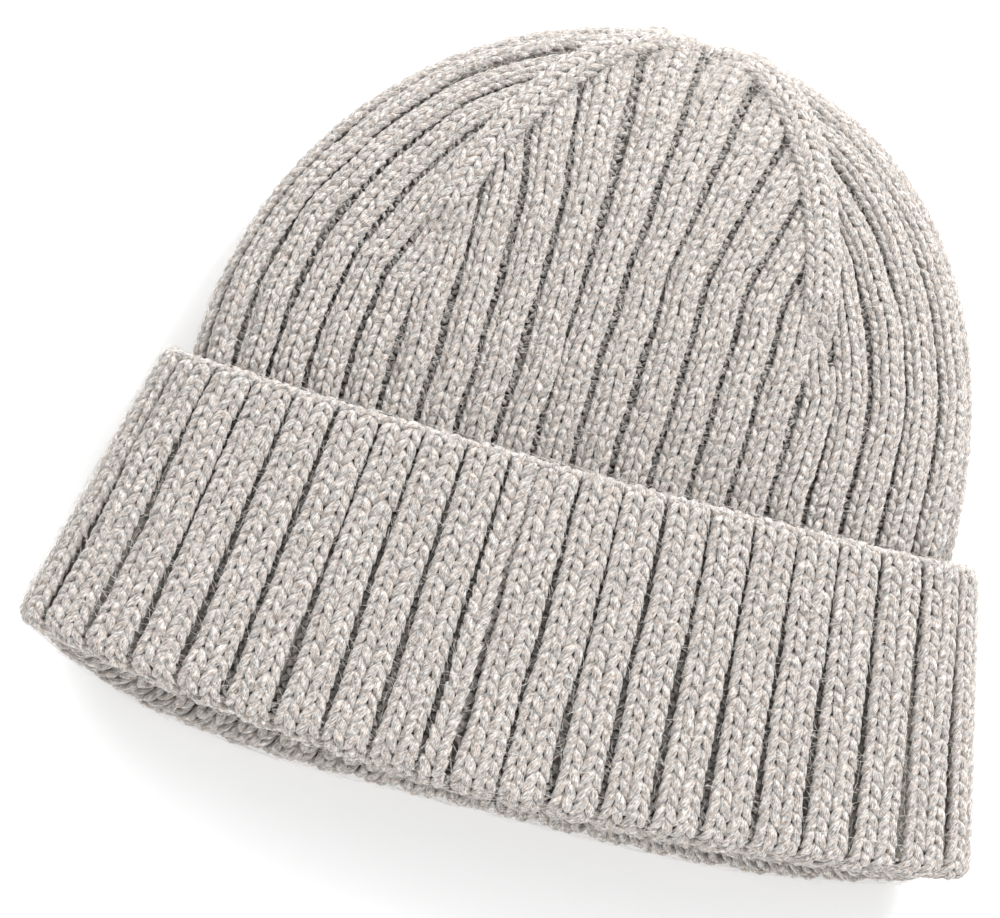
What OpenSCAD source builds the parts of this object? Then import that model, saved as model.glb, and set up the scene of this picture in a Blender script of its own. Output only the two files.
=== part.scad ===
// Rib-knit beanie with a turned-up cuff, lying on its front as it does on a table.
// X runs across the hat, Y from the brim to the crown, Z up from the table.
// Millimetres. The origin is on the table, under the middle of the hat.

/* [Crown] */
// Width of the hat across the crown, laid flat
crown_w = 196; // [180:1:212]
// Length of the domed crown above the cuff
crown_l = 110; // [100:1:120]
// Height of the crown's top side above the table
crown_h = 38.5; // [32:0.5:44]
// Share of the dome, in degrees, that is knitted before the decreases start
crown_start = 25; // [15:1:35]

// How far the crown's tip leans to the right
crown_lean = 6; // [0:0.5:8]

/* [Cuff] */
// Width of the cuff at the brim, laid flat
brim_w = 249; // [230:1:256]
// Depth of the cuff at the sides of the hat
cuff_l = 76; // [64:1:84]
// Air between the cuff's top edge and the body
cuff_gap = 2.4; // [1:0.1:4]

/* [Fabric] */
// Thickness of one ply of the rib knit
ply = 5; // [4:0.1:5.6]
// How far the upper brim bows out at its middle
bow_upper = 11; // [4:0.5:12]
// How far the lower brim bows out at its middle
bow_lower = 16; // [12:0.5:18]

/* [Hidden] */

wool = "#c9c4bd";
yarn = "#bdb8b1";

clear = 0.3;                      // air between two plies that lie on each other
roll_r = ply + clear / 2;         // outer radius of the fold at the brim
brim_s = roll_r - cuff_l;         // station where the fold begins
flare = brim_w / 2 - crown_w / 2 - ply - clear;
lift_top = ply + cuff_gap;        // height of the body over the table at the cuff's top edge
lift_brim = ply + clear;          // and at the brim
apex_z = 8;                       // height of the crown's tip over the table
dome_power = 2.1;                 // superellipse of the crown's outline
top_power = 2.3;                  // superellipse of the upper side's cross-section
under_power = 3;                  // and of the side that lies on the table
widest = 0.42;                    // share of the height at which the hat is widest
sag_angle = 22;                   // stretch of the dome over which the underside sinks to the table
under_bulge = 0.35;               // how squarely the underside turns up towards the tip
top_edge_bow = 0.22;              // share of the brim's bow that the cuff's top edge keeps
bow_upper_power = 2;              // the upper brim bows evenly
bow_lower_power = 4;              // and the lower one comes forward nearly all the way across
bow_lower_skew = 0.15;            // and further on its left than on its right
bow_angle = 30;                   // stretch of the dome over which that bow dies away
shift_y = -(crown_l - cuff_l - bow_lower) / 2;
press = 0.8;                      // how far the knit would sink below the table, and is flattened instead

tip_s = 84;                       // station of the gathered tip, in degrees of the dome
seam_angle = [60, 120, 246, 294]; // where the four crown seams run round the section
seam_half = 2.4;                  // half of a crown seam's width, in degrees of the section
seam_rise = 1.4;                  // how proud a crown seam stands
back_seam_angle = 94;             // the linked seam up the back
back_seam_half = 1;               // and half of its width
seam_ridge = 1.2;                 // how far the seam's ridge stands into the hat
seam_air = 0.1;
seam_end_s = 76;                  // station where the ridge ends, short of the tip
edge_l = 3.5;                     // length of the rounded first course
knot_r = 1.6;
thread_r = 0.6;
thread_l = 8;                     // length of each end left on the draw thread
thread_spread = 24;
ring_steps = 60;                  // facets round the hat

// ---- the hat's surface ----------------------------------------------------------
// A station s is a distance in millimetres along the tube up to 0, which is the cuff's top edge,
// and an angle of the dome above it, up to 90 at the tip. A depth is measured into the hat.

function signed_pow(v, e) = sign(v) * pow(abs(v), e);
function ease(t) = let (c = min(1, max(0, t))) c * c * (3 - 2 * c);

function half_width(s, depth) = s <= 0
    ? crown_w / 2 - depth + flare * -s / cuff_l
    : (crown_w / 2 - depth) * pow(cos(s), 2 / dome_power);

function along(s, depth) = s <= 0 ? s : (crown_l - depth) * pow(sin(s), 2 / dome_power);

function upper_z(s, depth) = s <= 0
    ? crown_h - depth
    : apex_z + (crown_h - depth - apex_z) * cos(s);

function under_z(s, depth) = s <= 0
    ? depth + lift_top + (lift_brim - lift_top) * -s / cuff_l
    : apex_z + (depth - apex_z) * pow(cos(s), under_bulge) + lift_top * (1 - ease(s / sag_angle));

function bow(s, upper) = (upper ? bow_upper : bow_lower)
    * (s <= 0 ? top_edge_bow + (1 - top_edge_bow) * pow(-s / cuff_l, 2) : top_edge_bow * (1 - ease(s / bow_angle)));

function hat_point(angle, s, depth) = let (
    a = half_width(s, depth),
    top = upper_z(s, depth),
    under = under_z(s, depth),
    middle = under + widest * (top - under),
    upper = sin(angle) >= 0,
    power = upper ? top_power : under_power,
    across = signed_pow(cos(angle), 2 / power),
    rise = pow(abs(sin(angle)), 2 / power),
    skew = upper ? 1 : 1 - bow_lower_skew * across,
    forward = bow(s, upper) * skew * (1 - pow(abs(across), upper ? bow_upper_power : bow_lower_power)),
    y = along(s, depth) - forward
) [
    a * across + crown_lean * pow(max(0, y) / crown_l, 2),
    y + shift_y,
    max(0, middle + rise * ((upper ? top : under - press) - middle))
];

// ---- solids on that surface -----------------------------------------------------
// A profile is a closed list of [station, depth] points, swept round the hat.

module sweep_profile(profile, from, to, steps) {
    closed = to - from >= 360;
    n = len(profile);
    last = closed ? steps - 1 : steps;
    points = [for (i = [0:last], p = profile) hat_point(from + (to - from) * i / steps, p[0], p[1])];
    function at(i, j) = (closed ? i % steps : i) * n + j % n;
    sides = [for (i = [0:steps - 1], j = [0:n - 1], k = [0, 1]) k == 0
        ? [at(i, j), at(i + 1, j), at(i + 1, j + 1)]
        : [at(i, j), at(i + 1, j + 1), at(i, j + 1)]];
    // an end cap joins the two faces of the ply, station by station
    m = n / 2;
    caps = closed ? [] : [for (j = [0:m - 2], k = [0:3]) let (
        a = j, b = j + 1, c = n - 2 - j, d = n - 1 - j, e = steps * n)
        k == 0 ? [a, b, c] : k == 1 ? [a, c, d] : k == 2 ? [e + a, e + c, e + b] : [e + a, e + d, e + c]];
    polyhedron(points, concat(sides, caps), convexity = 10);
}

function stations(from, to, pieces) = [for (i = [0:pieces]) from + (to - from) * i / pieces];
function reversed(list) = [for (i = [len(list) - 1:-1:0]) list[i]];

// The profile of a ply that lies between two depths along a list of stations.
function ply_profile(at, outer, inner) = concat(
    [for (s = at) [s, outer]],
    [for (s = reversed(at)) [s, inner]]);

// The cuff leans away from the body towards its top edge.
function cuff_depth(s) = -clear - (cuff_gap - clear) * (1 - s / brim_s);
function cuff_profile(at) = concat(
    [for (s = at) [s, cuff_depth(s) - ply]],
    [for (s = reversed(at)) [s, cuff_depth(s)]]);

// A crown seam stands proud at the sides of the tube and sinks to nothing at the tip.
function seam_profile(at) = concat(
    [for (s = at) [s, -seam_rise * (tip_s - s) / (tip_s - crown_start)]],
    [for (s = reversed(at)) [s, ply]]);

module gore(from, to) {
    color(wool)
        sweep_profile(ply_profile(stations(crown_start, tip_s, 10), 0, ply), from + seam_half, to - seam_half, 16);
}

module crown_seam(angle) {
    color(yarn)
        sweep_profile(seam_profile(stations(crown_start, tip_s, 10)), angle - seam_half, angle + seam_half, 2);
}

// ---- the tube and its cuff ------------------------------------------------------

module body_tube() {
    at = concat(stations(brim_s, 0, 5), stations(crown_start / 4, crown_start, 3));
    color(wool)
        sweep_profile(ply_profile(at, 0, ply), 0, 360, ring_steps);
}

// The linked seam stands inside the tube as a low ridge.
module body_seam() {
    at = concat(stations(brim_s + edge_l, 0, 6), stations(crown_start / 4, seam_end_s, 7));
    color(yarn)
        sweep_profile(ply_profile(at, ply + seam_air, ply + seam_air + seam_ridge),
            back_seam_angle - back_seam_half, back_seam_angle + back_seam_half, 2);
}

module cuff_band() {
    color(wool)
        sweep_profile(cuff_profile(stations(brim_s, -edge_l, 5)),
            back_seam_angle + back_seam_half, back_seam_angle + 360 - back_seam_half, ring_steps);
}

module cuff_seam() {
    color(yarn)
        sweep_profile(cuff_profile(stations(brim_s, -edge_l, 5)),
            back_seam_angle - back_seam_half, back_seam_angle + back_seam_half, 2);
}

// The brim, where the knit turns up on itself.
module cuff_fold() {
    color(wool)
        sweep_profile([for (t = stations(0, 180, 8)) [brim_s - roll_r * sin(t), -clear / 2 + roll_r * cos(t)]],
            0, 360, ring_steps);
}

// The first course of the knit, drawn in over the cuff's top edge.
module cuff_start_edge() {
    middle = cuff_depth(0) - ply / 2;
    color(yarn)
        sweep_profile([for (t = stations(0, 180, 6)) [-edge_l + edge_l * sin(t), middle - ply / 2 * cos(t)]],
            0, 360, ring_steps);
}

// ---- the crown ------------------------------------------------------------------

module back_gore() { gore(seam_angle[0], seam_angle[1]); }
module left_gore() { gore(seam_angle[1], seam_angle[2]); }
module front_gore() { gore(seam_angle[2], seam_angle[3]); }
module right_gore() { gore(seam_angle[3], seam_angle[0] + 360); }

// The last loops, drawn together over the ends of the gores and seams.
module crown_tip() {
    steps = 30;
    rings = [[tip_s, 0], [86, 0], [88, 0], [88, ply], [86, ply], [tip_s, ply]];
    n = len(rings);
    points = concat(
        [for (r = rings, i = [0:steps - 1]) hat_point(360 * i / steps, r[0], r[1])],
        [hat_point(0, 90, 0), hat_point(0, 90, ply)]);
    function at(r, i) = (r % n) * steps + i % steps;
    walls = [for (r = [0, 1, 3, 4, 5], i = [0:steps - 1], k = [0, 1]) k == 0
        ? [at(r, i), at(r, i + 1), at(r + 1, i + 1)]
        : [at(r, i), at(r + 1, i + 1), at(r + 1, i)]];
    fans = [for (i = [0:steps - 1], k = [0, 1]) k == 0
        ? [at(2, i), at(2, i + 1), n * steps]
        : [at(3, i + 1), at(3, i), n * steps + 1]];
    color(wool)
        polyhedron(points, concat(walls, fans), convexity = 6);
}

// The thread that draws the last loops shut is knotted off inside, with two short ends.
module crown_draw_thread() {
    inner_tip = hat_point(90, 90, ply);
    color(yarn)
        translate(inner_tip - [0, knot_r + clear, 0]) {
            sphere(r = knot_r, $fn = 32);
            for (side = [-1, 1])
                rotate([90, 0, side * thread_spread])
                    cylinder(r = thread_r, h = thread_l, $fn = 24);
        }
}

body_tube();
body_seam();
cuff_band();
cuff_seam();
cuff_fold();
cuff_start_edge();
back_gore();
front_gore();
left_gore();
right_gore();
crown_seam(seam_angle[0]);  // crown_seam_back_right
crown_seam(seam_angle[1]);  // crown_seam_back_left
crown_seam(seam_angle[2]);  // crown_seam_front_left
crown_seam(seam_angle[3]);  // crown_seam_front_right
crown_tip();
crown_draw_thread();
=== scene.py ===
# %% [markdown]
# A chunky rib-knit beanie with a turned-up cuff, lying on its front.
#
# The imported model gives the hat's plain solids, in metres. They stay hidden, for collision, and every
# one of them is replaced here by knitting: a corrugated fabric core with real stitches laid over it.

# %% The frame
import math

import bpy
import numpy as np
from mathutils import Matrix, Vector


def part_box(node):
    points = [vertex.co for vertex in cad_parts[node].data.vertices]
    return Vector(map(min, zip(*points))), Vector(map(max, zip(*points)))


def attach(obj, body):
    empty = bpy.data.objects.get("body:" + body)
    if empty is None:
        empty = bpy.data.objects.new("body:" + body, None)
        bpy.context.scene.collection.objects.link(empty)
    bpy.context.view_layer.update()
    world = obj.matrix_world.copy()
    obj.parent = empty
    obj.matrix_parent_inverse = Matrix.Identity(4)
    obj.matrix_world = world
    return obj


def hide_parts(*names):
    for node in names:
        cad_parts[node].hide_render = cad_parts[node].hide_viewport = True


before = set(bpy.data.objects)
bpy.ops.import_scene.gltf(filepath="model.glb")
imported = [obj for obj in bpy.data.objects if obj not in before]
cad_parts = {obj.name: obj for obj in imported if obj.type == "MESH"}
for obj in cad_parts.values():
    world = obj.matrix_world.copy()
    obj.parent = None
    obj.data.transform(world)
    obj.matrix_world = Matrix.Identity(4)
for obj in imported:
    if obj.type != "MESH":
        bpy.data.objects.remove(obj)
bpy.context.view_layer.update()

# %% [markdown]
# The script measures in millimetres and turns to metres once, as each piece's mesh is made. The
# places come from the frame: the table at z = 0, the cuff's top edge and the crown's tip. The rest
# are the few sizes that drive the hat's shape.

# %% Driving sizes, in millimetres


def box_mm(node):
    low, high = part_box(node)
    return np.array(low) * 1000, np.array(high) * 1000


EDGE_Y = box_mm("cuff_start_edge")[1][1]
TIP_Y = box_mm("crown_tip")[1][1]
CROWN_H = box_mm("body_tube")[1][2]
CUFF_TOP_Z = box_mm("cuff_start_edge")[1][2]

PLY = 5.0
CLEAR = 0.3
CUFF_GAP = CUFF_TOP_Z - CROWN_H - PLY
CROWN_HALF = 98.0
CROWN_L = TIP_Y - EDGE_Y
CUFF_L = 76.0
FLARE = 124.5 - CROWN_HALF - PLY - CLEAR
ROLL_R = PLY + CLEAR / 2
BRIM_S = ROLL_R - CUFF_L
LIFT_TOP = PLY + CUFF_GAP
LIFT_BRIM = PLY + CLEAR
APEX_Z = 8.0
DOME_POWER = 2.1
TOP_POWER = 2.3
UNDER_POWER = 3.0
WIDEST = 0.42
BOW = {1: 11.0, -1: 16.0}
BOW_POWER = {1: 2.0, -1: 4.0}
BOW_SKEW = 0.15
TOP_EDGE_BOW = 0.22
PRESS = 0.8
CROWN_LEAN = 6.0

RIBS = 42
CUFF_ROW = 3.17
CROWN_ROW = 3.02
rng = np.random.default_rng(11)
print("crown", CROWN_L, "by", 2 * CROWN_HALF, " cuff gap", round(CUFF_GAP, 2))

# %% [markdown]
# The hat's surface is one formula. At each station the section across the hat is a superellipse,
# flatter underneath, where it lies on the table. Below the cuff's top edge a station is a distance
# along the tube, and above it the height up the dome. A depth moves the point into the hat.

# %% The hat's surface


def signed_power(value, exponent):
    return np.sign(value) * np.abs(value) ** exponent


def ease(t):
    t = np.clip(t, 0, 1)
    return t * t * (3 - 2 * t)


def tube_point(angle, station, depth):
    """A point of the tube, at station <= 0, in the ring of the section."""
    station, depth = np.broadcast_arrays(station, depth)
    half = CROWN_HALF - depth + FLARE * -station / CUFF_L
    top = CROWN_H - depth
    under = depth + LIFT_TOP + (LIFT_BRIM - LIFT_TOP) * -station / CUFF_L - PRESS
    middle = under + PRESS + WIDEST * (top - under - PRESS)
    upper = np.sin(angle) >= 0
    power = np.where(upper, TOP_POWER, UNDER_POWER)
    across = signed_power(np.cos(angle), 2 / power)
    rise = np.abs(np.sin(angle)) ** (2 / power)
    bow = np.where(upper, BOW[1], BOW[-1]) * (TOP_EDGE_BOW + (1 - TOP_EDGE_BOW) * (station / CUFF_L) ** 2)
    bow = bow * np.where(upper, 1.0, 1 - BOW_SKEW * across)
    z = middle + rise * (np.where(upper, top, under) - middle)
    y = EDGE_Y + station - bow * (1 - np.abs(across) ** np.where(upper, BOW_POWER[1], BOW_POWER[-1]))
    return np.stack([half * across, y, z], -1)


def dome_half(height, depth):
    """Half-width of the dome's outline at a height above the cuff's top edge."""
    share = np.clip(height / (CROWN_L - depth), 0, 1)
    return (CROWN_HALF - depth) * np.clip(1 - share**DOME_POWER, 1e-9, 1) ** (1 / DOME_POWER)


def dome_point(x, height, depth, side):
    """The point of the dome over a place on its plan. side is 1 for the upper face and -1 for the lower."""
    share = np.clip(height / (CROWN_L - depth), 0, 0.99999)
    cosine = np.sqrt(1 - share**DOME_POWER)
    climb = np.degrees(np.arccos(cosine))
    top = APEX_Z + (CROWN_H - depth - APEX_Z) * cosine
    under = APEX_Z + (depth - APEX_Z) * cosine**0.35 + LIFT_TOP * (1 - ease(climb / 22))
    middle = under + WIDEST * (top - under)
    across = np.clip(np.abs(x) / dome_half(height, depth), 0, 1)
    power = TOP_POWER if side > 0 else UNDER_POWER
    rise = (1 - across**power) ** (1 / power)
    goal = top if side > 0 else under - PRESS
    z = middle + rise * (goal - middle)
    bow = BOW[side] * TOP_EDGE_BOW * (1 - ease(climb / 30)) * (1 - across ** BOW_POWER[side])
    return np.stack([x, EDGE_Y + height - bow, z], -1)


# %% [markdown]
# Stitches are placed by row and by distance across, so each stretch of the hat gets a skin: a grid of
# surface points at even distances, with a normal at each. A place between the grid's points is found
# by blending its four neighbours.

# %% Skins to knit on


class Skin:
    """A grid of points, rows by columns, with the outward normals."""

    def __init__(self, along, across, points, outward, ring=False):
        self.along, self.across, self.points, self.ring = along, across, points, ring
        down = np.gradient(points, axis=0)
        if ring:
            side = (np.roll(points, -1, axis=1) - np.roll(points, 1, axis=1)) / 2
        else:
            side = np.gradient(points, axis=1)
        normal = np.cross(side, down)
        normal /= np.linalg.norm(normal, axis=-1, keepdims=True) + 1e-12
        self.normals = normal * outward

    def at(self, v, u, n):
        """The points at rows v and columns u, n millimetres out along the normal."""
        i = np.interp(v, self.along, np.arange(len(self.along)))
        i0 = np.clip(i.astype(int), 0, len(self.along) - 2)
        fi = (i - i0)[..., None]
        count = len(self.across)
        if self.ring:
            j = np.mod(u, 1.0) * count
            j0 = j.astype(int) % count
            j1 = (j0 + 1) % count
            fj = (j - np.floor(j))[..., None]
        else:
            j = np.interp(u, self.across, np.arange(count))
            j0 = np.clip(j.astype(int), 0, count - 2)
            j1 = j0 + 1
            fj = (j - j0)[..., None]

        def blend(grid):
            near = grid[i0, j0] * (1 - fj) + grid[i0, j1] * fj
            far = grid[i0 + 1, j0] * (1 - fj) + grid[i0 + 1, j1] * fj
            return near * (1 - fi) + far * fi

        return blend(self.points) + blend(self.normals) * np.asarray(n)[..., None]


def lengths(points):
    """Distance along a line of points, from its start."""
    steps = np.linalg.norm(np.diff(points, axis=0), axis=1)
    return np.concatenate([[0], np.cumsum(steps)])


# %% [markdown]
# The first skin is the face that shows on the cuff. It starts at the cuff's top edge, runs down the
# outside, round the fold at the brim, and up the inside of the hat. It is a ring all the way.

# %% The skin of the cuff, the fold and the inside


def cuff_path(v):
    """Station and depth of the face, v millimetres from the cuff's top edge."""
    edge_r = 2.4
    arc = edge_r * math.pi / 2
    fold_r = ROLL_R
    fold_l = math.pi * fold_r
    flat_end = arc + (-BRIM_S - edge_r)
    turn = np.clip(v / edge_r, -0.6, math.pi / 2)
    lean = CUFF_GAP - (CUFF_GAP - CLEAR) * np.clip(v / CUFF_L, 0, 1)
    station = np.where(v < arc, -edge_r + edge_r * np.cos(turn), -edge_r - (v - arc))
    depth = np.where(v < arc, -lean - PLY + edge_r * (1 - np.sin(turn)), -lean - PLY)
    round_ = np.clip((v - flat_end) / fold_r, 0, math.pi)
    station = np.where(v > flat_end, BRIM_S - fold_r * np.sin(round_), station)
    depth = np.where(v > flat_end, -CLEAR / 2 - fold_r * np.cos(round_), depth)
    inside = v - flat_end - fold_l
    station = np.where(inside > 0, BRIM_S + inside, station)
    return station, depth, flat_end, flat_end + fold_l


RING_COLUMNS = 504
V_CUFF = np.arange(-1.5, 158, 0.5)
_, _, FOLD_V, INSIDE_V = cuff_path(0.0)


def ring_of(station, depth):
    """One ring of the tube, at columns evenly spaced within each quarter turn."""
    quarters = []
    for quarter in range(4):
        angle = np.radians(np.linspace(0, 90, 241) + 90 * quarter)
        angle[0] += 1e-9
        angle[-1] -= 1e-9
        line = tube_point(angle, station, depth)
        place = lengths(line)
        even = np.linspace(0, place[-1], RING_COLUMNS // 4, endpoint=False)
        quarters.append(np.stack([np.interp(even, place, line[:, c]) for c in range(3)], -1))
    return np.concatenate(quarters)


def cuff_skin():
    stations, depths, _, _ = cuff_path(V_CUFF)
    points = np.array([ring_of(min(s, 0.0), d) for s, d in zip(stations, depths)])
    return Skin(V_CUFF, np.arange(RING_COLUMNS), points, 1, ring=True)


CUFF = cuff_skin()
CUFF_AROUND = np.array([lengths(np.vstack([ring, ring[:1]]))[-1] for ring in CUFF.points])
print("brim round the fold:", round(CUFF_AROUND[int((FOLD_V + 1.5) * 2)]), "mm; normal at the top",
      CUFF.normals[40, 126].round(2))

# %% [markdown]
# The crown's ribs don't run straight up a ring. They follow the outline at the sides and the middle
# line at the back and front, and end one by one at the four crown seams. So the body gets four skins,
# one for each wedge of the crown, each measured outwards from its own middle line.

# %% The four skins of the body
SEAM_SHARE = 0.55
STRAIGHT = 49.8
BODY_START = -9.0
A_STEPS = np.arange(-66.0, 66.5, 1.0)


def seam_x(height, depth=0.0):
    """Where the crown seams stand, out from the middle line."""
    return np.minimum(STRAIGHT, SEAM_SHARE * dome_half(height, depth))


def even_line(line, distances):
    """The points of a line at the given distances along it."""
    place = lengths(line)
    return np.stack([np.interp(distances, place, line[:, c]) for c in range(3)], -1)


def middle_skin(side):
    heights = np.concatenate([np.arange(BODY_START, 100, 1.0), np.arange(100, CROWN_L - 0.3, 0.4)])
    rows, border = [], []
    for height in heights:
        reach = dome_half(height, 0.0) * 0.985
        x = np.linspace(0, reach, 160)
        half = dome_point(x, np.full_like(x, height), 0.0, side)
        place = lengths(half)
        border.append(np.interp(seam_x(height), x, place))
        right = even_line(half, A_STEPS[A_STEPS >= 0])
        left = right[:0:-1] * [-1, 1, 1]
        rows.append(np.vstack([left, right]))
    points = np.array(rows)
    along = np.concatenate([[0], np.cumsum(np.linalg.norm(np.diff(points[:, 66], axis=0), axis=1))]) + BODY_START
    return Skin(along, A_STEPS, points, side), np.array(border), np.array(border), heights


def side_skin(sign):
    """The skin round the hat's edge, on the right for sign 1. Columns over 0 lie on the upper face."""
    turn = np.radians(np.concatenate([np.linspace(0, 80, 240), np.linspace(80, 89.9, 80)[1:]]))
    edge_x = CROWN_HALF * np.cos(turn) ** (2 / DOME_POWER)
    edge_h = CROWN_L * np.sin(turn) ** (2 / DOME_POWER)
    edge = np.stack([edge_x, edge_h, np.zeros_like(edge_x)], -1)
    place = lengths(edge)
    along = np.arange(BODY_START, place[-1] - 0.5, 1.0)
    x0 = np.interp(along, place, edge_x)
    h0 = np.where(along < 0, along, np.interp(along, place, edge_h))
    slope_x = (np.clip(x0, 0, None) / CROWN_HALF) ** (DOME_POWER - 1) / CROWN_HALF
    slope_h = (np.clip(h0, 0, None) / CROWN_L) ** (DOME_POWER - 1) / CROWN_L
    inward = -np.stack([slope_x, slope_h], -1)
    inward /= np.linalg.norm(inward, axis=1, keepdims=True)
    rows, border_up, border_low = [], [], []
    for x, h, d in zip(x0, h0, inward):
        reach = min(78.0, x / max(-d[0], 1e-3) * 0.98)
        step = reach * np.linspace(0, 1, 260) ** 2.4
        qx, qh = x + d[0] * step, h + d[1] * step
        halves = []
        for face in (1, -1):
            half = dome_point(qx, qh, 0.0, face)
            inside = qx < seam_x(qh)
            cut = np.argmax(inside) if inside.any() else len(qx) - 1
            halves.append((half, lengths(half)[cut]))
        border_up.append(halves[0][1])
        border_low.append(halves[1][1])
        upper = even_line(halves[0][0], A_STEPS[A_STEPS >= 0])
        lower = even_line(halves[1][0], A_STEPS[A_STEPS > 0])[::-1]
        rows.append(np.vstack([lower, upper]) * [sign, 1, 1])
    return Skin(along, A_STEPS, np.array(rows), -sign), np.array(border_up), np.array(border_low), h0


class Wedge:
    """A skin with its ribs: how wide they are, and how far each one runs before a crown seam takes it."""

    def __init__(self, skin, border_up, border_low, heights, middle):
        self.skin = skin
        self.tuck = 2.0 if middle else 0.4
        along = skin.along
        share = 5.0 if middle else 5.5
        tube = heights <= 46
        last = np.flatnonzero(tube)[-1]
        self.pitch = []
        for border in (border_low, border_up):
            pitch = border / share
            climb = heights[~tube] if middle else along[~tube]
            if middle:
                pitch[~tube] = pitch[last] * (1 + 0.5 * np.clip((climb - 48) / 55, 0, 1.1) ** 1.6)
            else:
                pitch[~tube] = pitch[last] * (1 - 0.16 * ease((climb - 48) / 70))
            self.pitch.append(pitch)
        self.border = [border_low, border_up]
        self.centres = np.arange(10) - 4.5 if middle else np.arange(11) - 5.0
        self.row_t = []
        for k in self.centres:
            centre = skin.at(along, self.column(along, k, 0.0), np.zeros_like(along))
            place = lengths(centre) + BODY_START
            self.row_t.append(place / CROWN_ROW)

    def column(self, t, k, off):
        """Distance across the skin of a place off millimetres from the middle of rib k."""
        pitch = np.where(np.asarray(k) < 0, np.interp(t, self.skin.along, self.pitch[0]),
                         np.interp(t, self.skin.along, self.pitch[1]))
        return k * pitch + off

    def spread(self, t, k):
        """How much wider the ribs are at t than at the cuff."""
        low = np.interp(t, self.skin.along, self.pitch[0]) / self.pitch[0][10]
        high = np.interp(t, self.skin.along, self.pitch[1]) / self.pitch[1][10]
        return np.where(np.asarray(k) < 0, low, high)

    def limit(self, t, a):
        """How far across the wedge goes at t, on the side where a lies."""
        return np.where(a < 0, np.interp(t, self.skin.along, self.border[0]),
                        np.interp(t, self.skin.along, self.border[1]))

    def t_of(self, rib, row):
        """Distance along the skin of a row, counted along that rib's own middle."""
        result = np.empty(np.shape(row))
        for index, rows in enumerate(self.row_t):
            here = rib == index
            result[here] = np.interp(row[here], rows, self.skin.along)
        return result


WEDGES = {
    "back": Wedge(*middle_skin(1), middle=True),
    "front": Wedge(*middle_skin(-1), middle=True),
    "right": Wedge(*side_skin(1), middle=False),
    "left": Wedge(*side_skin(-1), middle=False),
}
for name, wedge in WEDGES.items():
    print(name, "rib width at the cuff", np.round([p[10] for p in wedge.pitch], 2),
          "normal", wedge.skin.normals[20, 66].round(2))

# %% [markdown]
# A knit stitch shows as a V of two legs, each a plump length of yarn whose ends dive behind its
# neighbours. One leg is modelled as a primitive sphere drawn out to a blunt spindle, with few faces
# because it is repeated thousands of times. Its map runs once round the yarn and once along it.

# %% One leg of a stitch


def only(obj):
    bpy.ops.object.select_all(action="DESELECT")
    obj.select_set(True)
    bpy.context.view_layer.objects.active = obj


def spindle(name, sides, rings, blunt):
    """Corners, faces and map of a blunt spindle one unit long and one unit thick, lying along Y."""
    bpy.ops.object.select_all(action="DESELECT")
    bpy.ops.mesh.primitive_uv_sphere_add(segments=sides, ring_count=rings, radius=0.5)
    ball = bpy.context.object
    ball.name = name
    ball.rotation_euler.x = -math.pi / 2
    only(ball)
    bpy.ops.object.transform_apply(rotation=True)
    mesh = ball.data
    corners = np.array([v.co for v in mesh.vertices])
    girth = np.hypot(corners[:, 0], corners[:, 2]) * 2
    corners[:, [0, 2]] *= (np.where(girth > 1e-6, girth, 1) ** (blunt - 1))[:, None]
    faces = [tuple(p.vertices) for p in mesh.polygons]
    uv = np.array([entry.uv for entry in mesh.uv_layers[0].data])
    bpy.data.objects.remove(ball)
    return {"corners": corners, "faces": faces, "uv": uv}


LEG = spindle("leg", 7, 7, 0.55)
PLAIN_LEG = spindle("plain_leg", 5, 5, 0.6)
print("a leg has", len(LEG["faces"]), "faces, a plain one", len(PLAIN_LEG["faces"]))

# %% [markdown]
# Every piece's mesh is made from arrays of corners and faces in one call. Stitches come as one array
# of legs, each with its own copy of the spindle's faces.

# %% Making a mesh from arrays
PRESS_FROM = 0.8


def new_mesh(name, corners, faces, uv=None):
    """corners in millimetres; faces as a list of index tuples or an array of equal faces."""
    mesh = bpy.data.meshes.new(name)
    sizes = np.array([len(f) for f in faces], np.int32)
    flat = np.fromiter((i for f in faces for i in f), np.int32, sizes.sum())
    return fill_mesh(mesh, corners, flat, sizes, uv)


def lean_and_press(corners):
    """The corners, with the crown leaning right, and whatever would sink into the table pressed on it."""
    corners[:, 0] += CROWN_LEAN * (np.maximum(corners[:, 1] - EDGE_Y, 0) / CROWN_L) ** 2
    z = corners[:, 2]
    corners[:, 2] = np.where(z < PRESS_FROM, PRESS_FROM * np.exp(z / PRESS_FROM - 1), z)
    return corners


def fill_mesh(mesh, corners, flat, sizes, uv):
    corners = lean_and_press(np.array(corners, float))
    starts = np.concatenate([[0], np.cumsum(sizes)[:-1]]).astype(np.int32)
    mesh.vertices.add(len(corners))
    mesh.vertices.foreach_set("co", (np.asarray(corners, np.float32) / 1000).ravel())
    mesh.loops.add(len(flat))
    mesh.loops.foreach_set("vertex_index", flat)
    mesh.polygons.add(len(sizes))
    mesh.polygons.foreach_set("loop_start", starts)
    if uv is not None:
        layer = mesh.uv_layers.new(name="yarn")
        layer.data.foreach_set("uv", np.asarray(uv, np.float32).ravel())
    mesh.update(calc_edges=True)
    mesh.validate()
    mesh.polygons.foreach_set("use_smooth", np.ones(len(mesh.polygons), bool))
    return mesh


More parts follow.
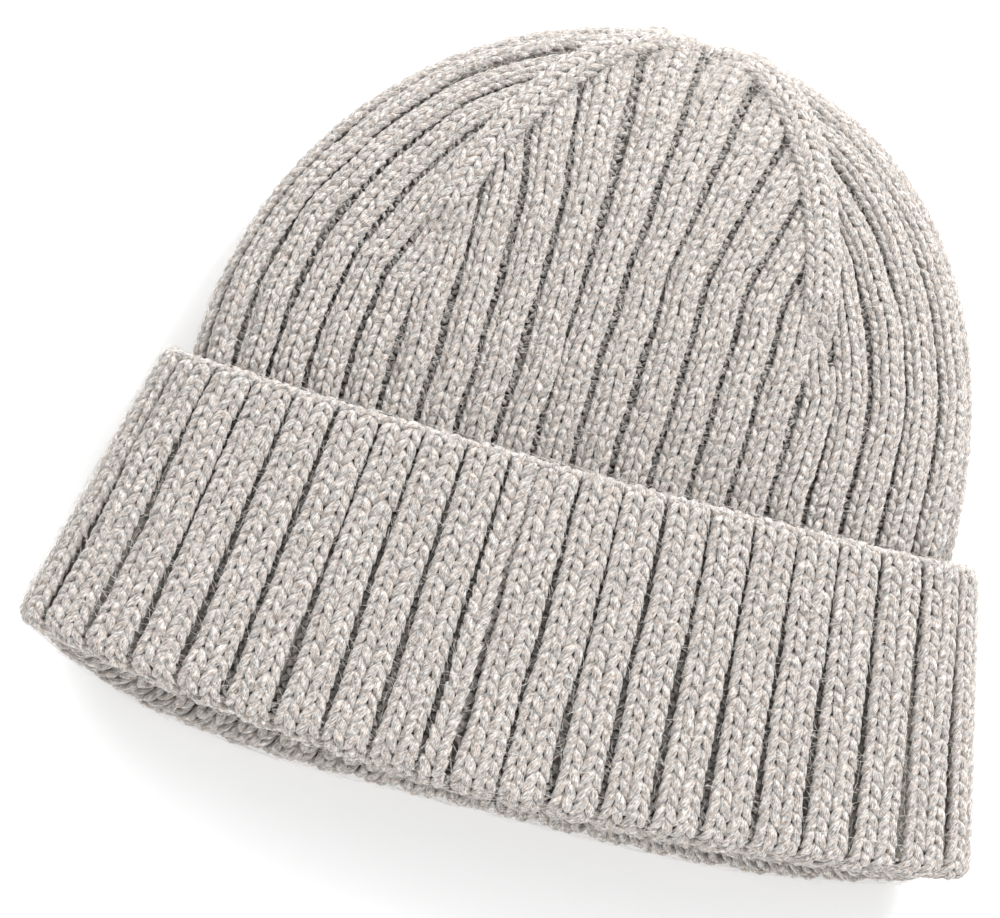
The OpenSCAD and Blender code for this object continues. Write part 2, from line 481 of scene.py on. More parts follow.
def legs_mesh(name, template, points, tint):
    """points is legs by corners by 3. tint shifts each leg's map, so that no two legs look alike."""
    legs, count, _ = points.shape
    faces = template["faces"]
    sizes = np.array([len(f) for f in faces], np.int32)
    flat = np.array([i for f in faces for i in f], np.int32)
    volume = 0.0
    for face in faces:
        p, q, r = points[0, face[0]], points[0, face[1]], points[0, face[2]]
        volume += np.dot(p - points[0].mean(0), np.cross(q - p, r - p))
    if volume < 0:
        order = np.concatenate([np.arange(s)[::-1] + b for s, b in
                                zip(sizes, np.concatenate([[0], np.cumsum(sizes)[:-1]]))])
        flat, uv = flat[order], template["uv"][order] * [-1, 1]
    else:
        uv = template["uv"]
    every = (flat[None, :] + (np.arange(legs) * count)[:, None]).ravel()
    uvs = (uv[None] + tint[:, None, :]).reshape(-1, 2)
    mesh = bpy.data.meshes.new(name)
    return fill_mesh(mesh, points.reshape(-1, 3), every, np.tile(sizes, legs), uvs)


# %% [markdown]
# A rib two stitches wide shows four legs side by side. The outer two sit lower and lean away, which
# rounds the rib. Each leg starts low, swells over the row and dives again under the next row.

# %% Laying stitches on a skin
LEG_DROP = np.array([0.75, 0.15, 0.1, 0.55])
LEG_ROLL = np.radians([-24, 0, 0, 22])
LEG_GROOVE = np.radians([0, 14, -14, 0])
LEG_PART = np.array([0.0, -0.13, 0.13, 0.0])
EDGE_GIVE = 0.6


def lay_legs(template, place, rib, row, leg, width, plump, lean=2.0, thick=1.0, reach=1.85, top=-1.1,
             groove=1.0, drop=LEG_DROP, flip=1):
    """Corners of one leg for each entry of rib, row and leg. place(rib, row, off, n) finds a point."""
    count = len(rib)
    corner = template["corners"]
    along = corner[:, 1] + 0.5
    jitter = rng.normal(size=(count, 5))
    side = np.where(leg % 2 == 0, -1.0, 1.0)
    swell = -0.55 + 0.9 * np.sin(math.pi * along**0.9) ** 0.8
    radius = plump * 0.5 * (1 + 0.05 * jitter[:, 0])
    middle = (leg - 1.5) * width + groove * LEG_PART[leg] + 0.12 * jitter[:, 1]
    roll = LEG_ROLL[leg] + groove * LEG_GROOVE[leg] + 0.09 * jitter[:, 4]
    lx, lz = corner[:, 0] * 2, corner[:, 2] * 2 * thick
    turned_x = lx[None] * np.cos(roll)[:, None] + lz[None] * np.sin(roll)[:, None]
    turned_z = -lx[None] * np.sin(roll)[:, None] + lz[None] * np.cos(roll)[:, None]
    off = middle[:, None] + side[:, None] * lean * (along - 0.5)[None] + radius[:, None] * turned_x
    edge = 2 * width - 0.5
    off = np.sign(off) * np.where(np.abs(off) > edge, edge + EDGE_GIVE * (np.abs(off) - edge), np.abs(off))
    height = (top - drop[leg] + 0.08 * jitter[:, 2])[:, None] + 1.25 * swell[None] \
        + radius[:, None] * turned_z
    rows = row[:, None] - 0.45 + reach * along[None] + 0.04 * jitter[:, 3, None]
    ribs = np.repeat(rib[:, None], len(corner), 1)
    points = place(ribs, rows, off * flip, height)
    tint = np.stack([rng.integers(0, 40, count), rng.integers(0, 400, count)], -1).astype(float)
    return points, tint



def lay_bumps(template, place, rib, row, off, length, width, slant, top, row_l, flip=1):
    """Corners of one short bar of yarn for each entry, lying across the rows at a slant."""
    count = len(rib)
    corner = template["corners"]
    jitter = rng.normal(size=(count, 4))
    turn = slant + 0.15 * jitter[:, 0]
    long_ = corner[None, :, 1] * (length * (1 + 0.06 * jitter[:, 1]))[:, None]
    wide = corner[None, :, 0] * width
    high = corner[None, :, 2] * width
    offs = off[:, None] + long_ * np.cos(turn)[:, None] - wide * np.sin(turn)[:, None]
    along = long_ * np.sin(turn)[:, None] + wide * np.cos(turn)[:, None]
    arch = -0.5 * (2 * corner[None, :, 1]) ** 2
    height = (top + 0.1 * jitter[:, 2])[:, None] + high + arch
    ribs = np.repeat(rib[:, None], len(corner), 1)
    points = place(ribs, row[:, None] + 0.04 * jitter[:, 3, None] + along / row_l, offs * flip, height)
    tint = np.stack([rng.integers(0, 40, count), rng.integers(0, 400, count)], -1).astype(float)
    return points, tint


# %% [markdown]
# Ribs of a hand-finished hat wander a little. A few slow waves, different for each rib, move the ribs
# sideways and lift or sink the skin, so that nothing is ruler-straight.

# %% Slow waves for natural unevenness


class Waves:
    def __init__(self, ribs, amount, span):
        self.amount, self.span = amount, span
        self.phase = rng.uniform(0, 2 * math.pi, (ribs + 1, 3))
        self.size = rng.normal(0, 1, (ribs + 1, 3)) * [1.0, 0.6, 0.4]

    def __call__(self, rib, v):
        total = 0
        for wave, length in enumerate((self.span, self.span * 0.47, self.span * 0.23)):
            total = total + self.size[rib, wave] * np.sin(2 * math.pi * v / length + self.phase[rib, wave])
        return self.amount * total


# %% [markdown]
# On the cuff the ribs are even, but for the seam up the back: there a narrow half rib stands beside a
# full one, and only a weak line parts them.

# %% The cuff's ribs
CUFF_WIDTH = 2.68
CUFF_PLUMP = 2.7
HALF_RIB = 0.58
UPPER_UNITS = np.concatenate([np.ones(11), [HALF_RIB], np.ones(9)])
LOWER_UNITS = np.ones(21)
SEAM_RIB = 11


def cuff_bounds():
    upper = UPPER_UNITS * (1 + 0.035 * rng.normal(size=len(UPPER_UNITS)))
    lower = LOWER_UNITS * (1 + 0.035 * rng.normal(size=len(LOWER_UNITS)))
    upper *= 0.5 / upper.sum()
    lower *= 0.5 / lower.sum()
    return np.concatenate([[0], np.cumsum(np.concatenate([upper, lower]))])


CUFF_BOUNDS = cuff_bounds()
CUFF_MIDDLES = (CUFF_BOUNDS[:-1] + CUFF_BOUNDS[1:]) / 2
CUFF_WANDER = Waves(RIBS, 0.28, 90.0)


def cuff_place(rib, row, off, n):
    v = row * CUFF_ROW
    around = np.interp(v, V_CUFF, CUFF_AROUND)
    wander = CUFF_WANDER(rib, v) * ease(v / 20)
    crowd = 1 + 0.09 * ease(1 - np.abs(v - FOLD_V - 3) / 13)
    u = CUFF_MIDDLES[rib] + (off * crowd + wander) / around
    return CUFF.at(v, u, n)


def cuff_legs(ribs, first, last, template=LEG, **options):
    """Legs of the ribs from one row to another. The half rib has two legs, not four."""
    rib, row, leg = [], [], []
    for r in ribs:
        legs = (1, 2) if r == SEAM_RIB else (0, 1, 2, 3)
        for c in np.arange(first, last):
            for number in legs:
                rib.append(r)
                row.append(c)
                leg.append(number)
    rib, row, leg = np.array(rib), np.array(row, float), np.array(leg)
    return lay_legs(template, cuff_place, rib, row, leg, CUFF_WIDTH, CUFF_PLUMP, **options)


UPPER_RIBS = range(0, 21)
LOWER_RIBS = range(21, 42)
FOLD_ROW = int(FOLD_V / CUFF_ROW)
INSIDE_ROW = int(math.ceil(INSIDE_V / CUFF_ROW))
LAST_INSIDE_ROW = int((INSIDE_V + 66) / CUFF_ROW)
print("rows on the cuff", FOLD_ROW, " round the fold", INSIDE_ROW - FOLD_ROW)

# %% [markdown]
# Under the stitches lies a closed sheet that is corrugated like the rib, so that the valleys are filled. Its wool
# is a darker copy of the yarn, painted shade for the deep valleys. It is drawn as two grids, joined round their edges.

# %% Fabric cores


def plateau(distance, half, soft):
    return 1 - ease((distance - half + soft) / (2 * soft))


def closed_ring(outer, inner):
    """Faces and corners of a ring-shaped sheet between two grids of the same size."""
    rows, columns, _ = outer.shape
    corners = np.concatenate([outer.reshape(-1, 3), inner.reshape(-1, 3)])
    faces = []
    index = np.arange(rows * columns).reshape(rows, columns)
    side = np.roll(index, -1, axis=1)
    a, b = index[:-1], side[:-1]
    c, d = side[1:], index[1:]
    shift = rows * columns
    faces.append(np.stack([a, b, c, d], -1).reshape(-1, 4))
    faces.append(np.stack([a, d, c, b], -1).reshape(-1, 4) + shift)
    faces.append(np.stack([index[0], index[0] + shift, side[0] + shift, side[0]], -1))
    faces.append(np.stack([index[-1], side[-1], side[-1] + shift, index[-1] + shift], -1))
    return corners, np.concatenate(faces)


def closed_patch(outer, inner):
    """The same for a sheet with four sides."""
    rows, columns, _ = outer.shape
    corners = np.concatenate([outer.reshape(-1, 3), inner.reshape(-1, 3)])
    index = np.arange(rows * columns).reshape(rows, columns)
    shift = rows * columns
    a, b = index[:-1, :-1], index[:-1, 1:]
    c, d = index[1:, 1:], index[1:, :-1]
    faces = [np.stack([a, b, c, d], -1).reshape(-1, 4), np.stack([a, d, c, b], -1).reshape(-1, 4) + shift]
    for line, turn in ((index[0], 1), (index[-1], -1), (index[:, 0], -1), (index[:, -1], 1)):
        near, far = line[:-1], line[1:]
        wall = np.stack([near, near + shift, far + shift, far], -1)
        faces.append(wall if turn > 0 else wall[:, ::-1])
    return corners, np.concatenate(faces)


def outward(corners, faces):
    """The faces, turned if the closed shape they make is inside out."""
    p = corners[faces]
    volume = np.einsum("ij,ij->i", p[:, 0], np.cross(p[:, 1], p[:, 2])).sum() \
        + np.einsum("ij,ij->i", p[:, 0], np.cross(p[:, 2], p[:, 3])).sum()
    return faces if volume > 0 else faces[:, ::-1]


def cuff_core_heights(v, column, k_half=5.0):
    """Heights of the sheet's two faces along the rib pattern, at rows v and columns column."""
    around = np.interp(v, V_CUFF, CUFF_AROUND)[:, None]
    share = column / RING_COLUMNS
    rib = np.clip(np.searchsorted(CUFF_BOUNDS, share, side="right") - 1, 0, RIBS - 1)
    off = np.abs(share - CUFF_MIDDLES[rib])[None] * around
    half = (CUFF_BOUNDS[rib + 1] - CUFF_BOUNDS[rib])[None] * around / 2
    k = np.minimum(half - 1.1, k_half)
    outer = -5.0 + 3.3 * plateau(off, k, 0.8)
    inner = -4.0 - 1.0 * plateau(half - off, np.minimum(half - 1.1, 4.2), 0.9)
    return outer, np.minimum(inner, outer - 0.9)


def cuff_core(v_from, v_to, name):
    v = np.linspace(v_from, v_to, max(4, int((v_to - v_from) / 2.1)))
    column = np.arange(RING_COLUMNS)
    outer_n, inner_n = cuff_core_heights(v, column)
    vv = np.repeat(v[:, None], RING_COLUMNS, 1)
    uu = np.repeat(column[None] / RING_COLUMNS, len(v), 0)
    corners, faces = closed_ring(CUFF.at(vv, uu, outer_n), CUFF.at(vv, uu, inner_n))
    return new_mesh(name, corners, outward(corners, faces))


# %% [markdown]
# The crown's ribs are narrower, and the valleys between them open towards the tip, where the ladder of
# purl bumps shows. Each rib stops where it meets a crown seam.

# %% The body's ribs
TUCK_REACH = 6.0
SEAM_START = 42.0
BODY_WIDTH = 2.15
BODY_DROP = np.array([1.35, 0.45, 0.0, 0.45])
BODY_PLUMP = 2.3
BODY_LEAN = 1.3


def body_place(wedge, wander, shift=0.0):
    def place(rib, row, off, n):
        t = wedge.t_of(rib, row)
        k = wedge.centres[rib] + shift
        spread = wedge.spread(t, k)
        drift = wander(rib, row * CROWN_ROW) + 1.2 * wander(np.full(np.shape(rib), len(wedge.centres)), t)
        a = wedge.column(t, k, off * spread + drift * ease((t + 6) / 30))
        to_border = wedge.limit(t, a) - np.abs(a)
        tuck = wedge.tuck * ease(1 - to_border / TUCK_REACH) * ease((t - SEAM_START) / 12)
        return wedge.skin.at(t, a, n - tuck)
    return place


def body_list(wedge, first, last):
    """The legs that exist on a wedge: those that lie inside its borders."""
    rib, row, leg = [], [], []
    for index, k in enumerate(wedge.centres):
        for c in np.arange(first, last):
            t = np.interp(c + 0.6, wedge.row_t[index], wedge.skin.along)
            if c + 1.0 > wedge.row_t[index][-1]:
                break
            for number in range(4):
                a = wedge.column(t, k, (number - 1.5) * BODY_WIDTH * wedge.spread(t, k))
                if np.abs(a) < wedge.limit(t, a) + 0.6 or t < 40:
                    rib.append(index)
                    row.append(c)
                    leg.append(number)
    return np.array(rib), np.array(row, float), np.array(leg)


def body_core(wedge, t_from, t_to, name):
    """The sheet under a wedge. Its edges follow the crown seams."""
    t = np.linspace(t_from, t_to, max(6, int((t_to - t_from) / 2.2)))
    share = np.linspace(-1, 1, 181)
    low, high = wedge.limit(t, -np.ones_like(t)), wedge.limit(t, np.ones_like(t))
    a = np.where(share[None] < 0, share[None] * low[:, None], share[None] * high[:, None])
    pitch = np.where(a < 0, np.interp(t, wedge.skin.along, wedge.pitch[0])[:, None],
                     np.interp(t, wedge.skin.along, wedge.pitch[1])[:, None])
    first = wedge.centres[0]
    place = a / pitch - first
    part = np.abs(place - np.round(place))
    outer = -4.5 + 2.5 * plateau(part, 0.38, 0.08)
    inner = -3.2 - 1.3 * plateau(0.5 - part, 0.35, 0.1)
    tt = np.repeat(t[:, None], len(share), 1)
    corners, faces = closed_patch(wedge.skin.at(tt, a, outer), wedge.skin.at(tt, a, np.minimum(inner, outer - 0.9)))
    return new_mesh(name, corners, outward(corners, faces))


# %% [markdown]
# Heathered wool is spun from fibres of several colours: cream, greys, a little beige and blue-grey.
# The yarn here is three plies twisted together. It is matt, with a faint sheen from loose fibres.

# %% Wool


def linear(hex_colour):
    """An sRGB hex colour as the linear colour that a shader takes."""
    parts = [int(hex_colour[i:i + 2], 16) / 255 for i in (1, 3, 5)]
    return [p / 12.92 if p <= 0.04045 else ((p + 0.055) / 1.055) ** 2.4 for p in parts] + [1.0]


def node(tree, kind, settings=None, values=None, links=None):
    """Adds a node with its settings, its sockets' values and its links from other nodes' sockets."""
    made = tree.nodes.new(kind)
    for key, value in (settings or {}).items():
        setattr(made, key, value)
    for socket, value in (values or {}).items():
        made.inputs[socket].default_value = value
    for socket, source in (links or {}).items():
        tree.links.new(source, made.inputs[socket])
    return made


def wool(name, light, mid, dark, warm, cool, streaks=True):
    """Wool of three greys, with a little warm and cool fibre. streaks follow the yarn's own map."""
    material = bpy.data.materials.new(name)
    material.use_nodes = True
    tree = material.node_tree
    tree.nodes.clear()
    place = node(tree, "ShaderNodeTexCoord")
    grain = node(tree, "ShaderNodeTexNoise", values={"Scale": 900.0, "Detail": 2.0, "Roughness": 0.7},
                 links={"Vector": place.outputs["Object"]})
    if streaks:
        twisted = node(tree, "ShaderNodeMapping",
                       values={"Scale": (YARN_ROUND, YARN_LONG, 1), "Rotation": (0, 0, TWIST)},
                       links={"Vector": place.outputs["UV"]})
        drawn = node(tree, "ShaderNodeMapping", values={"Scale": (1 / FIBRE_WIDE, 1 / FIBRE_LONG, 1)},
                     links={"Vector": twisted.outputs[0]})
        fibre = node(tree, "ShaderNodeTexNoise", values={"Scale": 1.0, "Detail": 2.0, "Roughness": 0.6},
                     links={"Vector": drawn.outputs[0]})
    else:
        fibre = grain
    both = node(tree, "ShaderNodeMix", {"data_type": "FLOAT"}, {0: 0.35},
                {2: fibre.outputs["Fac"], 3: grain.outputs["Fac"]})
    ramp = node(tree, "ShaderNodeValToRGB", links={"Fac": both.outputs[0]})
    stops = ramp.color_ramp.elements
    stops[0].position, stops[0].color = 0.37, linear(dark)
    stops[1].position, stops[1].color = 0.63, linear(light)
    stops.new(0.5).color = linear(mid)
    hue = node(tree, "ShaderNodeTexNoise", values={"Scale": 800.0, "Detail": 1.0},
               links={"Vector": place.outputs["Object"]})
    hues = node(tree, "ShaderNodeValToRGB", links={"Fac": hue.outputs["Fac"]})
    stops = hues.color_ramp.elements
    stops[0].position, stops[0].color = 0.35, linear(cool)
    stops[1].position, stops[1].color = 0.65, linear(warm)
    stops.new(0.5).color = linear(mid)
    mixed = node(tree, "ShaderNodeMix", {"data_type": "RGBA", "blend_type": "MIX"}, {0: 0.28},
                 {6: ramp.outputs[0], 7: hues.outputs[0]})
    shader = node(tree, "ShaderNodeBsdfPrincipled",
                  values={"Roughness": 0.95, "Sheen Weight": 0.3, "Sheen Roughness": 0.5,
                          "Specular IOR Level": 0.15},
                  links={"Base Color": mixed.outputs[2]})
    bump = node(tree, "ShaderNodeBump", values={"Strength": 1.0, "Distance": 0.00035},
                links={"Height": both.outputs[0]})
    tree.links.new(bump.outputs[0], shader.inputs["Normal"])
    end = node(tree, "ShaderNodeOutputMaterial", links={"Surface": shader.outputs[0]})
    end.location = (400, 0)
    return material


YARN_ROUND = 7.0
YARN_LONG = 5.8
FIBRE_WIDE = 0.16
FIBRE_LONG = 1.2
TWIST = math.radians(28)
YARN = wool("heathered_wool_yarn", "#e9e3de", "#98928d", "#403d3a", "#a39081", "#828a8f")
# The ground under the stitches is the same wool in darker greys: painted shade for the deep valleys where it shows.
GROUND_WOOL_PAINTED_SHADE = wool("knit_ground_wool_painted_shade", "#8f8a84", "#67635d", "#3d3a37", "#6a6053", "#565b5d", streaks=False)
LOOSE = wool("loose_wool_fibres", "#f4efea", "#cdc7c1", "#8d8781", "#cdbba8", "#b4babd", streaks=False)

# %% [markdown]
# Each finished piece is named, given its wool, and tied to the hat's one body; the plain solid that it stands for
# is hidden.

# %% Finishing a piece
PIECES = {}


def finish_piece(name, mesh, nodes, material):
    piece = bpy.data.objects.new(name, mesh)
    bpy.context.scene.collection.objects.link(piece)
    mesh.materials.append(material)
    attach(piece, "root")
    if nodes:
        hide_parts(*nodes)
    PIECES[name] = piece
    mesh.calc_loop_triangles()
    print(name, len(mesh.loop_triangles), "triangles")
    return piece


# %% The cuff
cuff_core_piece = finish_piece("cuff_band_core", cuff_core(1.0, FOLD_V, "cuff_band_core"),
                               ["cuff_band"], GROUND_WOOL_PAINTED_SHADE)
fold_core_piece = finish_piece("cuff_fold_core", cuff_core(FOLD_V, INSIDE_V, "cuff_fold_core"),
                               ["cuff_fold"], GROUND_WOOL_PAINTED_SHADE)
for name, ribs, leg in (("back", UPPER_RIBS, LEG), ("front", LOWER_RIBS, PLAIN_LEG)):
    title = f"cuff_band_stitches_{name}"
    finish_piece(title, legs_mesh(title, leg, *cuff_legs(ribs, 0, FOLD_ROW, template=leg, flip=-1, groove=0.35)),
                 [], YARN)
finish_piece("cuff_fold_stitches", legs_mesh("cuff_fold_stitches", LEG,
             *cuff_legs(range(RIBS), FOLD_ROW, INSIDE_ROW, flip=-1)), [], YARN)

# %% [markdown]
# The cuff's top edge is the first course of the knitting: a chain of short loops that runs straight
# across ribs and valleys alike, and hides where the valleys begin.

# %% The first course
EDGE_LOOP = 2.5


def edge_place(rib, row, off, n):
    around = CUFF_AROUND[4]
    return CUFF.at(row * CUFF_ROW, off / around, n)


loops = int(CUFF_AROUND[4] / EDGE_LOOP)
spot = (np.arange(2 * loops) // 2 + 0.5 * (np.arange(2 * loops) % 2)) * CUFF_AROUND[4] / loops
deep = np.arange(2 * loops) % 2
edge_points, edge_tint = lay_bumps(LEG, edge_place, np.zeros(2 * loops, int), 0.05 + 0.30 * deep, spot,
                                   EDGE_LOOP * 1.75, 1.9, np.radians(14) * (1 - 2 * deep),
                                   np.full(2 * loops, -1.0), CUFF_ROW)
finish_piece("cuff_start_edge_loops", legs_mesh("cuff_start_edge_loops", LEG, edge_points, edge_tint),
             ["cuff_start_edge"], YARN)

# %% [markdown]
# The valleys of the cuff aren't bare: the purl side's bumps lie deep in them, and come up where the knit
# is stretched round the fold, so each gap closes before it reaches the brim.

# %% The cuff's valleys
VALLEY_DEEP = 4.7


def valley_place(rib, row, off, n):
    v = row * CUFF_ROW
    around = np.interp(v, V_CUFF, CUFF_AROUND)
    wander = (CUFF_WANDER(rib, v) + CUFF_WANDER((rib - 1) % RIBS, v)) / 2 * ease(v / 20)
    rise = 2.2 * ease(1 - np.abs(v - FOLD_V - 5) / 12) + 1.3 * ease(1 - v / 7)
    return CUFF.at(v, CUFF_BOUNDS[rib] + (off + wander) / around, n + rise)


bump_row = np.tile(np.repeat(np.arange(0.5, INSIDE_ROW), 2) + np.tile([-0.25, 0.25], INSIDE_ROW), RIBS)
bump_rib = np.repeat(np.arange(RIBS), 2 * INSIDE_ROW)
bump_side = np.tile([-1, 1], RIBS * INSIDE_ROW)
kept = bump_rib != SEAM_RIB
finish_piece("cuff_valley_bumps", legs_mesh("cuff_valley_bumps", PLAIN_LEG,
             *lay_bumps(PLAIN_LEG, valley_place, bump_rib[kept], bump_row[kept], 0.5 * bump_side[kept], 3.0, 1.7,
                        0.5 * bump_side[kept], np.full(kept.sum(), -VALLEY_DEEP), CUFF_ROW)),
             [], YARN)

# %% The body's lining side, seen through the opening
finish_piece("inside_stitches", legs_mesh("inside_stitches", PLAIN_LEG,
             *cuff_legs(range(RIBS), INSIDE_ROW, LAST_INSIDE_ROW, template=PLAIN_LEG, flip=-1)), [],
             YARN)
inside_core = finish_piece("body_tube_core", cuff_core(INSIDE_V, 157.0, "body_tube_core"),
                           ["body_tube"], GROUND_WOOL_PAINTED_SHADE)

# %% The body and the crown's wedges
TUBE_END = 46.0
LEAN_TO = {"back": 1, "front": 1, "right": -1, "left": 1}


def wedge_stitches(name, wedge):
    place = body_place(wedge, WANDER[name])
    rib, row, leg = body_list(wedge, -2, 70)
    t = wedge.t_of(rib, row)
    for part, chosen in (("tube", t < TUBE_END), ("gore", t >= TUBE_END)):
        title = f"{name}_{part}_stitches"
        points, tint = lay_legs(LEG, place, rib[chosen], row[chosen], leg[chosen], BODY_WIDTH,
                                BODY_PLUMP, lean=BODY_LEAN, drop=BODY_DROP, flip=LEAN_TO[name])
        finish_piece(title, legs_mesh(title, LEG, points, tint), [], YARN)


def wedge_valleys(name, wedge):
    """The ladder of purl bumps between the ribs: two short bars a row, that slope towards each other."""
    all_points, all_tints = [], []
    middle = len(wedge.centres) == 10
    shifts = (0.5, -0.5) if middle else (0.5,)
    for shift in shifts:
        ribs = range(len(wedge.centres)) if shift > 0 else [0]
        if not middle:
            ribs = range(len(wedge.centres) - 1)
        rib, row, off, slant = [], [], [], []
        for index in ribs:
            k = wedge.centres[index] + shift
            for c in np.arange(-2, 70):
                if c + 1 > wedge.row_t[index][-1]:
                    break
                t = np.interp(c, wedge.row_t[index], wedge.skin.along)
                a = wedge.column(t, k, 0.0)
                if np.abs(a) > wedge.limit(t, a) - 0.5 and t > TUBE_END:
                    break
                spread = 0.55
                for side in (-1, 1):
                    rib.append(index)
                    row.append(c + 0.25 * side)
                    off.append(side * spread)
                    slant.append(side * 0.5)
        rib, row = np.array(rib), np.array(row, float)
        points, tint = lay_bumps(PLAIN_LEG, body_place(wedge, WANDER[name], shift), rib, row, np.array(off),
                                 2.6, 1.5, np.array(slant), np.full(len(rib), -3.5), CROWN_ROW)
        all_points.append(points)
        all_tints.append(tint)
    title = f"{name}_valley_bumps"
    finish_piece(title, legs_mesh(title, PLAIN_LEG, np.concatenate(all_points), np.concatenate(all_tints)), [],
                 YARN)


WANDER = {name: Waves(12, 0.3, 105.0) for name in WEDGES}
for name, wedge in WEDGES.items():
    wedge_stitches(name, wedge)
    wedge_valleys(name, wedge)
    end = wedge.skin.along[-1] - 0.5
    finish_piece(f"{name}_gore_core", body_core(wedge, BODY_START, end, f"{name}_gore_core"),
                 [f"{name}_gore"], GROUND_WOOL_PAINTED_SHADE)

# %% [markdown]
# Four seams gather the crown. Each is a rib of its own that rises from the fabric, runs along the
# line where the wedges meet, and covers the ends of the ribs that it takes in.

# %% The crown seams
SEAM_RISE = 1.6
SEAM_LEAN = 2.2
SEAM_ACROSS = np.arange(-7.0, 7.5, 1.0)


def seam_skin(side, face):
    """A narrow skin along the seam on the side of the hat and the face given."""
    height = np.concatenate([np.arange(SEAM_START, 104, 0.8), np.linspace(104, CROWN_L - 1.0, 24)])
    x = seam_x(height)
    line = dome_point(side * x, height, 0.0, face)
    line[:, 0] = side * x
    ahead = np.gradient(line, axis=0)
    ahead /= np.linalg.norm(ahead, axis=1, keepdims=True)
    nearby = dome_point(side * x * 0.9, height, 0.0, face)
    nearby[:, 0] = side * x * 0.9
    up = np.cross(ahead, nearby - line)
    up /= np.linalg.norm(up, axis=1, keepdims=True)
    up *= np.sign(up[:, 2:3].mean()) * face
    across = np.cross(ahead, up)
    points = line[:, None] + across[:, None] * SEAM_ACROSS[None, :, None]
    along = lengths(line)
    skin = Skin(along, SEAM_ACROSS, points, 1)
    if np.sign(skin.normals[..., 2].mean()) != face:
        skin.normals *= -1
    return skin


SEAM_SKINS = {}


def seam_piece(node_name, side, face):
    skin = seam_skin(side, face)
    total = skin.along[-1]
    SEAM_SKINS[node_name] = skin

    def rise(v):
        return -2.2 + (2.2 + SEAM_RISE) * ease(v / 14) - 1.2 * ease((v - total + 8) / 8)

    def place(rib, row, off, n):
        v = row * CROWN_ROW
        return skin.at(v, off, n + rise(v))

    row = np.repeat(np.arange(0, int(total / CROWN_ROW)), 4).astype(float)
    leg = np.tile([0, 1, 2, 3], len(row) // 4)
    points, tint = lay_legs(LEG, place, np.zeros(len(row), int), row, leg, BODY_WIDTH, BODY_PLUMP,
                            lean=SEAM_LEAN, flip=face)
    title = f"{node_name}_stitches"
    finish_piece(title, legs_mesh(title, LEG, points, tint), [node_name], YARN)
    v = np.linspace(0, total, 60)
    off = np.linspace(-4.4, 4.4, 15)
    vv, oo = np.meshgrid(v, off, indexing="ij")
    outer = rise(vv) - 1.7 - 0.07 * oo**2
    corners, faces = closed_patch(skin.at(vv, oo, outer), skin.at(vv, oo, np.minimum(-3.6, outer - 0.8)))
    title = f"{node_name}_core"
    finish_piece(title, new_mesh(title, corners, outward(corners, faces)), [], GROUND_WOOL_PAINTED_SHADE)


for node_name, side, face in (("crown_seam_back_right", 1, 1), ("crown_seam_back_left", -1, 1),
                              ("crown_seam_front_right", 1, -1), ("crown_seam_front_left", -1, -1)):
    seam_piece(node_name, side, face)

# %% [markdown]
# At the tip the last loops are drawn together. They run over the edge from the back to the front, and
# a short thread that draws them shut is knotted off inside.

# %% The tip and its thread
TIP_HALF = 24.0
TIP_LOOP = 2.4
TIP_FALL = 3.2


def over_the_edge(x, s_along, depth):
    """A point of the ridge at the crown's top. s_along runs from -1 in front to 1 at the back."""
    edge_h = CROWN_L * (1 - (np.abs(x) / CROWN_HALF) ** DOME_POWER) ** (1 / DOME_POWER)
    height = edge_h - 0.05 - TIP_FALL * s_along**2
    back, front = dome_point(x, height, depth, 1), dome_point(x, height, depth, -1)
    return np.where((s_along > 0)[..., None], back, front)


spots = np.arange(-TIP_HALF, TIP_HALF + 0.1, TIP_LOOP)
corner = LEG["corners"]
loops_x = spots[:, None] + TIP_LOOP * 1.05 * corner[None, :, 0] + 0.15 * rng.normal(size=(len(spots), 1))
loops_s = np.repeat(2 * corner[None, :, 1], len(spots), 0)
loops_d = 0.5 - 2.2 * corner[None, :, 2] + 0.1 * rng.normal(size=(len(spots), 1))
tip_points = over_the_edge(loops_x, loops_s, loops_d)
tip_tint = rng.integers(0, 400, (len(spots), 2)).astype(float)
finish_piece("crown_tip_loops", legs_mesh("crown_tip_loops", LEG, tip_points, tip_tint),
             ["crown_tip"], YARN)

thread_low, thread_high = box_mm("crown_draw_thread")
KNOT_R = 1.6
TAIL_W = 1.3
knot = np.array([0.0, thread_high[1] - KNOT_R, (thread_low[2] + thread_high[2]) / 2])
tail_l = thread_high[1] - thread_low[1] - KNOT_R


def bar(middle, way, length, width):
    """Corners of one bar of yarn along a direction."""
    way = np.array(way, float) / np.linalg.norm(way)
    side = np.cross(way, [0.3, 0.2, 1.0])
    side /= np.linalg.norm(side)
    up = np.cross(side, way)
    grow = corner * [width, length, width]
    return middle + grow[:, :1] * side + grow[:, 1:2] * way + grow[:, 2:] * up


tails = [bar(knot + np.array([turn, -1, 0]) * [0.42 * tail_l / 2, tail_l / 2, 0], (0.42 * turn, -1, 0),
             tail_l * 1.05, TAIL_W) for turn in (-1, 1)]
wraps = [bar(knot, way, 2.3 * KNOT_R, 1.5) for way in ((1, 0.4, 0.5), (-1, 0.5, 0.4), (0.2, 1, -0.6))]
thread_points = np.array(tails + wraps)
finish_piece("crown_draw_thread_ends", legs_mesh("crown_draw_thread_ends", LEG, thread_points,
             rng.integers(0, 400, (5, 2)).astype(float)), ["crown_draw_thread"], YARN)

# %% [markdown]
# The hat is closed up the back by linking: a chain of small stitches that stands inside the tube, and
# lies in the valley beside the half rib on the cuff, where it sinks deeper towards the brim.

# %% The linked seam
SEAM_U = 0.2735
CHAIN_WIDTH = 1.5


def chain_place(rib, row, off, n):
    v = row * CUFF_ROW
    return CUFF.at(v, SEAM_U + off / np.interp(v, V_CUFF, CUFF_AROUND), n)


